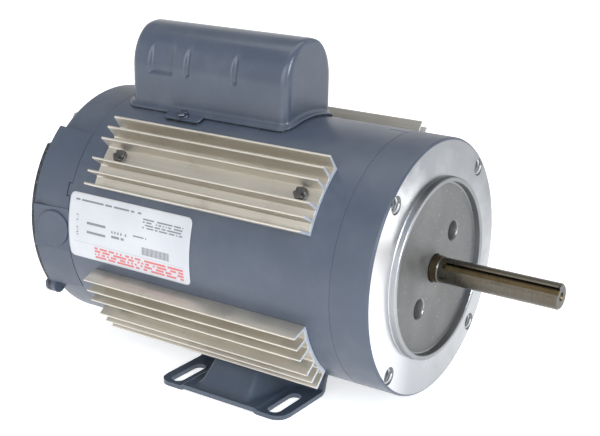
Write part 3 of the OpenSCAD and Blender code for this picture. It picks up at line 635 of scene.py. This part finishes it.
def make_face_threads():
    """Helical ridges in the four face holes."""
    pitch, turns, per_turn = 1.5875, 10, 36
    depth = 17
    section = ((4.8, -0.62), (3.98, -0.12), (3.98, 0.12), (4.8, 0.62))
    bm = bmesh.new()
    for angle in FACE_HOLE_ANGLES:
        matrix = axial_frame(BOLT_RING_R, angle)
        rows = []
        for i in range(turns * per_turn + 1):
            a = 2 * math.pi * i / per_turn
            z = FACE_Z - depth + pitch * i / per_turn
            row = []
            for r, dz in section:
                point = Vector((r * math.cos(a), r * math.sin(a), z + dz)) * MM
                row.append(bm.verts.new(matrix @ point))
            rows.append(row)
        for a_row, b_row in zip(rows, rows[1:]):
            for j in range(len(section)):
                k = (j + 1) % len(section)
                bm.faces.new((a_row[j], a_row[k], b_row[k], b_row[j]))
        bm.faces.new(rows[0])
        bm.faces.new(rows[-1])
    finish_mesh("face_hole_threads", bm, [thread_metal])


def fin_profile():
    """Closed outline of a heat sink, as (radius, angle, shift across the fin): curved base, six fins."""
    half_t, fillet, nose = FIN_T / 2, 0.5, 0.12
    steps = 4
    first, last_fin = FIN_OFFSETS[0], FIN_OFFSETS[-1]
    ends = first - 0.6, last_fin + 0.6
    angles = [ends[0] + (ends[1] - ends[0]) * i / 40 for i in range(41)]
    outline = [(SHELL_R + 0.05, a, 0.0) for a in reversed(angles)]
    root = math.degrees(half_t / SINK_BASE_R)
    tip = half_t - nose
    last = ends[0]
    for fin in FIN_OFFSETS:
        if fin != first:
            span = fin - root - last
            for i in range(1, steps):
                outline.append((SINK_BASE_R, last + span * i / steps, 0.0))
            outline.append((SINK_BASE_R, fin, -half_t - fillet))
            outline.append((SINK_BASE_R + fillet, fin, -half_t))
        else:
            outline.append((SINK_BASE_R, fin, -half_t))
        outline.append((FIN_TIP_R - tip, fin, -half_t + nose))
        for r, side in arc(FIN_TIP_R - tip, 0, tip, -60, 60, 6):
            outline.append((r, fin, side))
        outline.append((FIN_TIP_R - tip, fin, half_t - nose))
        if fin != last_fin:
            outline.append((SINK_BASE_R + fillet, fin, half_t))
            outline.append((SINK_BASE_R, fin, half_t + fillet))
        else:
            outline.append((SINK_BASE_R, fin, half_t))
        last = fin + root
    return outline


def make_heat_sink(node, angle, metal):
    """Extruded sink with slightly uneven fins and sawn ends."""
    bm = bmesh.new()
    outline = fin_profile()
    stations = 25
    waver = [rng.uniform(-0.12, 0.12) for _ in FIN_OFFSETS]
    rings = []
    for k in range(stations):
        t = k / (stations - 1)
        z = SINK_Z - SINK_LENGTH / 2 + SINK_LENGTH * t
        ring = []
        for r, fin, side in outline:
            a = math.radians(angle + fin)
            lift = max(0.0, (r - SHELL_R - 3) / (FIN_TIP_R - SHELL_R))
            nearest = min(range(len(FIN_OFFSETS)), key=lambda i: abs(FIN_OFFSETS[i] - fin))
            shift = side + waver[nearest] * lift * math.sin(3.1 * t + nearest)
            x = r * math.cos(a) - shift * math.sin(a)
            up = r * math.sin(a) + shift * math.cos(a)
            ring.append(motor(x, up, z))
        rings.append(ring)
    rows = loft(bm, rings)
    for row in (rows[0], rows[-1]):
        bm.faces.new(row).material_index = 1
    obj = finish_mesh(node + "_visual", bm, [metal, fin_end], replaces=(node,),
                      smooth=40)
    bevel = obj.modifiers.new("edge", "BEVEL")
    bevel.width = 0.15 * MM
    bevel.segments = 2
    bevel.limit_method = "ANGLE"
    bevel.angle_limit = math.radians(60)


def add_hex_screw(bm, matrix, across_flats, head_h, washer_r):
    """Slotted hexagon washer head with softened edges, turned at random on the local XY plane."""
    turn = matrix @ Matrix.Rotation(math.radians(rng.uniform(0, 180)), 4, "Z")
    sides = 48
    slot_half, slot_floor = 0.65, head_h - 1.3
    flat_r = across_flats / 2
    corner_r = flat_r * 1.12
    washer = ((washer_r - 0.1, 0.0), (washer_r, 0.25), (washer_r - 0.12, 0.75), (washer_r - 0.5, 1.0))
    # how far in from the hexagon, and height
    head = ((0.0, 1.05), (0.0, head_h - 0.6), (0.35, head_h - 0.12), (0.8, head_h), (2.2, head_h - 0.15))
    rows = []
    for r, z in washer:
        row = []
        for i in range(sides):
            a = 2 * math.pi * i / sides
            row.append(bm.verts.new(turn @ (Vector((r * math.cos(a), r * math.sin(a), z)) * MM)))
        rows.append(row)
    for inset, z in head:
        row = []
        for i in range(sides):
            a = 2 * math.pi * i / sides
            from_flat = (math.degrees(a) + 30) % 60 - 30
            r = min(flat_r / math.cos(math.radians(from_flat)), corner_r) - inset
            x, y = r * math.cos(a), r * math.sin(a)
            in_slot = z > slot_floor and abs(y) < slot_half
            row.append(bm.verts.new(turn @ (Vector((x, y, slot_floor if in_slot else z)) * MM)))
        rows.append(row)
    for a_row, b_row in zip(rows, rows[1:]):
        for i in range(sides):
            j = (i + 1) % sides
            bm.faces.new((a_row[i], a_row[j], b_row[j], b_row[i]))
    bm.faces.new(rows[0])
    bm.faces.new(rows[-1])


def make_screws(node, places, head, material):
    """Screws of one kind; head is across flats, head height and washer radius."""
    bm = bmesh.new()
    for matrix in places:
        add_hex_screw(bm, matrix, *head)
    finish_mesh(node + "_visual", bm, [material], replaces=(node,), smooth=30)


def rounded_ring(half_w, half_l, corner):
    """Points round a rounded rectangle, the same count for any size; starts at +X, goes anticlockwise."""
    per_corner, per_side = 12, (14, 200)
    corner = min(corner, half_w, half_l)
    out = []
    spots = (
        (half_w - corner, half_l - corner, 0),
        (-half_w + corner, half_l - corner, 90),
        (-half_w + corner, -half_l + corner, 180),
        (half_w - corner, -half_l + corner, 270),
    )
    for index, (cx, cy, start) in enumerate(spots):
        curve = arc(cx, cy, corner, start, start + 90, per_corner)
        out += curve
        end = curve[-1]
        next_x, next_y, next_start = spots[(index + 1) % len(spots)]
        first = arc(next_x, next_y, corner, next_start, next_start + 90, 1)[0]
        count = per_side[index % 2]
        for i in range(1, count):
            t = i / count
            out.append((end[0] + (first[0] - end[0]) * t, end[1] + (first[1] - end[1]) * t))
    return out


def dent(behind, up):
    """Depth pressed into the cover's long walls, at a distance behind the C-face and a height.

    There is a square panel and two short grooves, which fade out towards the crown.
    """
    slope, low = 3.0, 99.5
    panel_front, panel_rear, panel_depth = 184.2, 205.8, 2.1
    grooves, groove_r, groove_depth = (173.2, 134.9), 2.9, 2.0
    top = 1 - smoothstep(up, 110, 124)
    panel = min(behind - panel_front, panel_rear - behind, up - low)
    depth = panel_depth * smoothstep(panel, 0, slope) * top
    for centre in grooves:
        reach = math.hypot(behind - centre, max(0.0, low + 3.2 - up)) / groove_r
        depth = max(depth, groove_depth * (1 - smoothstep(reach, 0.0, 1.0)) * top)
    return depth


def make_capacitor_cover():
    """Deep-drawn cover: arched crown, rounded edges, pressed panel and grooves, and a flared foot."""
    bm = bmesh.new()
    edge, end_edge = 6.0, 3.2
    wall_rows = crown_rows = 40
    wall_top = COVER_TOP - COVER_CROWN

    def point(px, py, up):
        on_long_wall = abs(px) > 12
        if on_long_wall:
            px -= math.copysign(dent(py + COVER_MID_Y + FACE_Z, up), px)
        return Vector((px, py + COVER_MID_Y, SHAFT_HEIGHT + up)) * MM

    rings = []
    skirt = ((3.2, 0.05), (3.25, 0.8), (2.9, 1.45), (1.9, 1.6), (0.8, 1.8), (0.2, 2.5), (0.0, 3.4))
    for out, lift in skirt:
        outline = rounded_ring(COVER_HALF_W + out, COVER_HALF_L + out, edge + out)
        rings.append([point(px, py, on_shell(px, COVER_SEAT_R + lift)) for px, py in outline])
    foot_lift = skirt[-1][1]
    for k in range(1, wall_rows + 1):
        t = k / wall_rows
        ring = []
        for px, py in rounded_ring(COVER_HALF_W, COVER_HALF_L, edge):
            foot = on_shell(px, COVER_SEAT_R + foot_lift)
            ring.append(point(px, py, foot + (wall_top - foot) * t))
        rings.append(ring)
    for k in range(1, crown_rows + 1):
        a = math.radians(90 * k / crown_rows)
        up = wall_top + COVER_CROWN * math.sin(a)
        half_w = COVER_HALF_W * max(0.004, math.cos(a))
        over = max(0.0, (up - (COVER_TOP - end_edge)) / end_edge)
        half_l = COVER_HALF_L - end_edge * (1 - math.sqrt(max(0.0, 1 - over * over)))
        corner = edge - (edge - end_edge) * smoothstep(k, 0, crown_rows)
        rings.append([point(px, py, up) for px, py in rounded_ring(half_w, half_l, corner)])
    rows = loft(bm, rings)
    bm.faces.new(rows[-1])
    for side in (-1, 1):
        add_cover_tab(bm, side)
    obj = finish_mesh("capacitor_cover_visual", bm, [cover_paint], replaces=("capacitor_cover",),
                      smooth=60)
    add_sheet(obj, "sheet", COVER_SHEET)


def add_cover_tab(bm, side):
    """Screw tab that lies on the shell beside the cover's wall."""
    seat = COVER_SEAT_R + 1.45
    outer, inner, half, corner = 35.9, 26.5, 14.6, 3.2
    cells_x, cells_y = 14, 40
    grid = []
    for i in range(cells_x + 1):
        row = []
        px = inner + (outer - inner) * i / cells_x
        into = max(0.0, px - (outer - corner))
        reach = half - corner + math.sqrt(max(0.0, corner ** 2 - into ** 2))
        for j in range(cells_y + 1):
            py = COVER_SCREW_Y + reach * (-1 + 2 * j / cells_y)
            row.append(bm.verts.new(Vector((side * px, py, SHAFT_HEIGHT + on_shell(px, seat))) * MM))
        grid.append(row)
    skin(bm, grid)


def base_end_path():
    """Section of the base's top surface at a foot: flat plate, web and the sheet that hugs the shell."""
    bend_x, bend_r = 36.6, 2.4
    path = [(x, FOOT_T) for x in (81, 78.5, 76, 71, 66, 61, 56, 51, 46, 41, 38, bend_x)]
    path += arc(bend_x, FOOT_T + bend_r, bend_r, -90, -160, 4)[1:]
    path += [(33.6, 8.0), (32.4, 11.5), (31.4, 14.0), (30.6, 16.0)]
    return path


def base_saddle_path():
    """Section at the middle: the sheet climbs from its outer edge to the shell, where it turns under."""
    foot_x, foot_up = 75.5, FOOT_T + 1.5
    path = [(81, FOOT_T + 1.2), (78.5, FOOT_T + 1.2), (foot_x, foot_up)]
    climb, run, rise = 11, 23.5, 23.0
    for i in range(1, climb):
        t = i / climb
        path.append((foot_x - run * t, foot_up + rise * t ** 0.95))
    count = len(base_end_path()) - len(path)
    for i in range(count):
        angle = math.radians(-50.5 - 9.5 * i / (count - 1))
        path.append((SHELL_R * math.cos(angle), SHAFT_HEIGHT + (SHELL_R + 0.2) * math.sin(angle)))
    return path


def base_point(u, y, end_path, saddle_path):
    """Blends the two sections; the saddle's side walls are steep at its foot and lean inward above."""
    ex, ez = end_path[u]
    sx, sz = saddle_path[u]
    inward = smoothstep(u, 2, 12)
    mix = 1 - smoothstep(abs(y), 17.0 - 2.5 * inward, 24.0 + 8 * inward)
    on_plate = u < 10
    raised = 1.2 * (1 - smoothstep(abs(y), 28.3, 30.2)) * on_plate
    return ex + (sx - ex) * mix, max(ez + raised, ez + (sz - ez) * mix)


def make_base():
    """Pressed sheet with soft bends, a raised middle, saddles and webs; the slots are cut through it."""
    bm = bmesh.new()
    end_path, saddle_path = base_end_path(), base_saddle_path()
    corner, smooth = 9.0, 45
    stations = [BASE_HALF_L * (-1 + 2 * j / 164) for j in range(165)]
    for side in (-1, 1):
        grid = []
        for station in stations:
            row = []
            for u in range(len(end_path)):
                x, up = base_point(u, station, end_path, saddle_path)
                x, y = round_corner(x, station, BASE_HALF_W, BASE_HALF_L, corner)
                row.append(bm.verts.new(Vector((side * x, y, up)) * MM))
            grid.append(row)
        skin(bm, grid)
    add_band(bm, stations)
    bmesh.ops.recalc_face_normals(bm, faces=bm.faces)
    obj = finish_mesh("mounting_base_visual", bm, [base_paint], replaces=("mounting_base",),
                      smooth=smooth)
    add_sheet(obj, "plate", FOOT_T - 0.05)
    apply_modifiers(obj)
    subtract(obj, "base_slots", cut_slots)
    obj.data.set_sharp_from_angle(angle=math.radians(smooth))


def add_band(bm, stations):
    """The part of the sheet that hugs the underside of the shell; its top surface touches the shell."""
    half_w, steps = 30.0, 24
    grid = []
    for y in stations:
        row = []
        for i in range(steps + 1):
            x = half_w * (-1 + 2 * i / steps)
            row.append(bm.verts.new(Vector((x, y, SHAFT_HEIGHT - on_shell(x, SHELL_R + 0.02))) * MM))
        grid.append(row)
    skin(bm, grid)


def cut_slots(cut):
    """Upright prisms with round ends, one for each foot slot."""
    run, below, above = SLOT_LENGTH - SLOT_W, -5, 9
    for sx in (-1, 1):
        for sy in (-1, 1):
            ring = []
            for end, start in ((1, -90), (-1, 90)):
                ring += arc(sx * SLOT_X + end * run / 2, sy * SLOT_Y, SLOT_W / 2, start, start + 180, 12)
            low = [cut.verts.new(Vector((x, y, below)) * MM) for x, y in ring]
            high = [cut.verts.new(Vector((x, y, above)) * MM) for x, y in ring]
            for i in range(len(ring)):
                j = (i + 1) % len(ring)
                cut.faces.new((low[i], low[j], high[j], high[i]))
            cut.faces.new(low)
            cut.faces.new(high)


def make_label():
    """Thin printed film wrapped on the shell, with rounded corners and a UV map along it."""
    bm = bmesh.new()
    uv_layer = bm.loops.layers.uv.new("UVMap")
    nu, nv, corner = 96, 48, 3.8
    r = SHELL_R + 0.22
    grid = []
    places = {}
    for i in range(nu + 1):
        row = []
        for j in range(nv + 1):
            p = LABEL_HALF_L * (-1 + 2 * i / nu)
            q = LABEL_HALF_H * (-1 + 2 * j / nv)
            p, q = round_corner(p, q, LABEL_HALF_L, LABEL_HALF_H, corner)
            up = LABEL_UP + q
            vert = bm.verts.new(motor(-on_shell(up, r), up, LABEL_MID_Z + p))
            places[vert] = (0.5 + p / LABEL_HALF_L / 2, 0.5 + q / LABEL_HALF_H / 2)
            row.append(vert)
        grid.append(row)
    for face in skin(bm, grid):
        for loop in face.loops:
            loop[uv_layer].uv = places[loop.vert]
    obj = finish_mesh("rating_label_visual", bm, [label_film], replaces=("rating_label",))
    add_sheet(obj, "film", 0.2, offset=0)


def make_shell_seam():
    """Low weld bead along the top of the rolled shell."""
    bm = bmesh.new()
    rings = []
    start, stop, stations = FRONT_SEAM_Z - 0.5, FRONT_SEAM_Z - 12, 60
    half_w, low = 0.6, -0.3
    for k in range(stations):
        z = start + (stop - start) * k / (stations - 1)
        centre = 87.2 + rng.uniform(-0.03, 0.03)
        height = 0.22 + rng.uniform(-0.04, 0.04)
        ring = []
        for x, y in arc(0, 0, 1.0, -10, 190, 8):
            angle = centre + math.degrees(x * half_w / SHELL_R)
            ring.append(polar(SHELL_R - 0.05 + max(low, y) * height, angle, z))
        rings.append(ring)
    rows = loft(bm, rings)
    for row in (rows[0], rows[-1]):
        bm.faces.new(row)
    finish_mesh("shell_weld_seam", bm, [body_paint], smooth=60)


make_drive_bell()
make_face_threads()
# the far upper-right sink takes the darker fin finish, as painted shade
for node, angle in SINK_ANGLES.items():
    make_heat_sink(node, angle, far_sink_shaded_metal if node == "heat_sink_upper_right" else fin_metal)
sink_places = []
for angle in SINK_ANGLES.values():
    for side in (-1, 1):
        sink_places.append(radial_frame(angle, SINK_BASE_R, SINK_Z + side * SINK_SCREW_Z))
make_screws("heat_sink_screws", sink_places, (7.6, 3.6, 4.7), black_steel)
cover_places = [radial_frame(a, SHELL_R + 2.3, -COVER_SCREW_Y) for a in COVER_SCREW_ANGLES]
make_screws("capacitor_cover_screws", cover_places, (6.4, 3.0, 3.9), dull_zinc)
make_capacitor_cover()
make_base()
make_label()
make_shell_seam()


# ---- finishes of the CAD nodes that stay ----

NODE_FINISH = {
    "stator_shell": body_paint,
    "rear_end_bell": bell_paint,
    "terminal_cover": bell_paint,
    "terminal_cover_gasket": gasket,
    "terminal_cover_screws": zinc,
    "conduit_hole_plug": bell_paint,
    "capacitor_cover_gasket": gasket,
    "start_capacitor": black_plastic,
    "capacitor_terminals": brass_metal,
    "capacitor_clamp": zinc,
    "through_bolts": zinc,
    "stator_core": core_metal,
    "stator_winding": wire,
    "shaft": steel,
    "rotor_core": core_metal,
    "rotor_cage": cast_metal,
    "wave_spring": bearing_steel,
    "bearing_retainer": cast_metal,
    "retainer_screws": zinc,
    "governor_hub": zinc,
    "governor_spool": phenolic,
    "governor_weight_a": zinc,
    "governor_weight_b": zinc,
    "governor_spring": bearing_steel,
    "switch_board": phenolic,
    "switch_board_screws": zinc,
    "switch_arm": brass_metal,
    "switch_contact": brass_metal,
    "thermal_protector": black_plastic,
    "terminal_board": phenolic,
    "terminal_studs": brass_metal,
    "ground_screw": green_paint,
}
for end in ("front", "rear"):
    for part in ("inner_race", "outer_race", "balls"):
        NODE_FINISH[f"{end}_bearing_{part}"] = bearing_steel
    NODE_FINISH[f"{end}_bearing_cage"] = brass_metal

for name, material in NODE_FINISH.items():
    for material_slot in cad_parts[name].material_slots:
        material_slot.link = "OBJECT"
        material_slot.material = material


# ---- floor, lights and camera ----

def aim(obj, location, target, roll=0.0):
    """Puts obj at location and points it at target, rolled by some degrees."""
    obj.location = location
    obj.rotation_mode = "QUATERNION"
    look = (Vector(target) - Vector(location)).to_track_quat("-Z", "Y")
    obj.rotation_quaternion = look @ Quaternion((0, 0, 1), math.radians(roll))


def add_floor():
    bpy.ops.mesh.primitive_plane_add(size=8.0, location=(0, 0, 0))
    floor = bpy.context.object
    floor.name = "studio_floor"
    floor.data.materials.append(floor_material())


def add_area(name, location, size, energy, color=(1, 1, 1)):
    """Rectangular light that points at the motor's middle."""
    data = bpy.data.lights.new(name, "AREA")
    data.shape = "RECTANGLE"
    data.size, data.size_y = size
    data.energy = energy
    data.color = color
    obj = bpy.data.objects.new(name, data)
    bpy.context.scene.collection.objects.link(obj)
    aim(obj, location, (0, 0, 0.1))


def add_camera():
    data = bpy.data.cameras.new("camera")
    data.sensor_width = 36
    data.lens = 72.8
    camera = bpy.data.objects.new("camera", data)
    bpy.context.scene.collection.objects.link(camera)
    aim(camera, (-0.6295, -0.4236, 0.3408), (0.1649, 0.1037, 0.0393), roll=1.08)
    bpy.context.scene.camera = camera


def add_world():
    """White walls to about 30 degrees up, a dimmer ceiling above."""
    walls_end, ceiling_start = 0.46, 0.62
    wall_strength, ceiling_strength = 0.85, 0.36
    world = bpy.data.worlds.new("studio")
    bpy.context.scene.world = world
    world.use_nodes = True
    nodes, links = world.node_tree.nodes, world.node_tree.links
    height = nodes.new("ShaderNodeSeparateXYZ")
    links.new(nodes.new("ShaderNodeTexCoord").outputs["Generated"], height.inputs[0])
    fade = nodes.new("ShaderNodeMapRange")
    for index, value in enumerate((walls_end, ceiling_start, wall_strength, ceiling_strength), start=1):
        fade.inputs[index].default_value = value
    links.new(height.outputs[2], fade.inputs[0])
    background = nodes["Background"]
    background.inputs[0].default_value = (1, 1, 1, 1)
    links.new(fade.outputs[0], background.inputs[1])


add_floor()
add_world()
add_area("top softbox", (0.1, 0.1, 1.5), (1.4, 1.2), 8)
add_area("key strip", (-0.62, -1.3, 0.78), (0.2, 0.7), 12, (0.76, 0.88, 1.0))
add_area("side fill", (-1.5, -0.2, 0.7), (1.2, 1.0), 9)
add_camera()
view = bpy.context.scene.view_settings
view.view_transform = "Standard"
view.exposure = 0.0
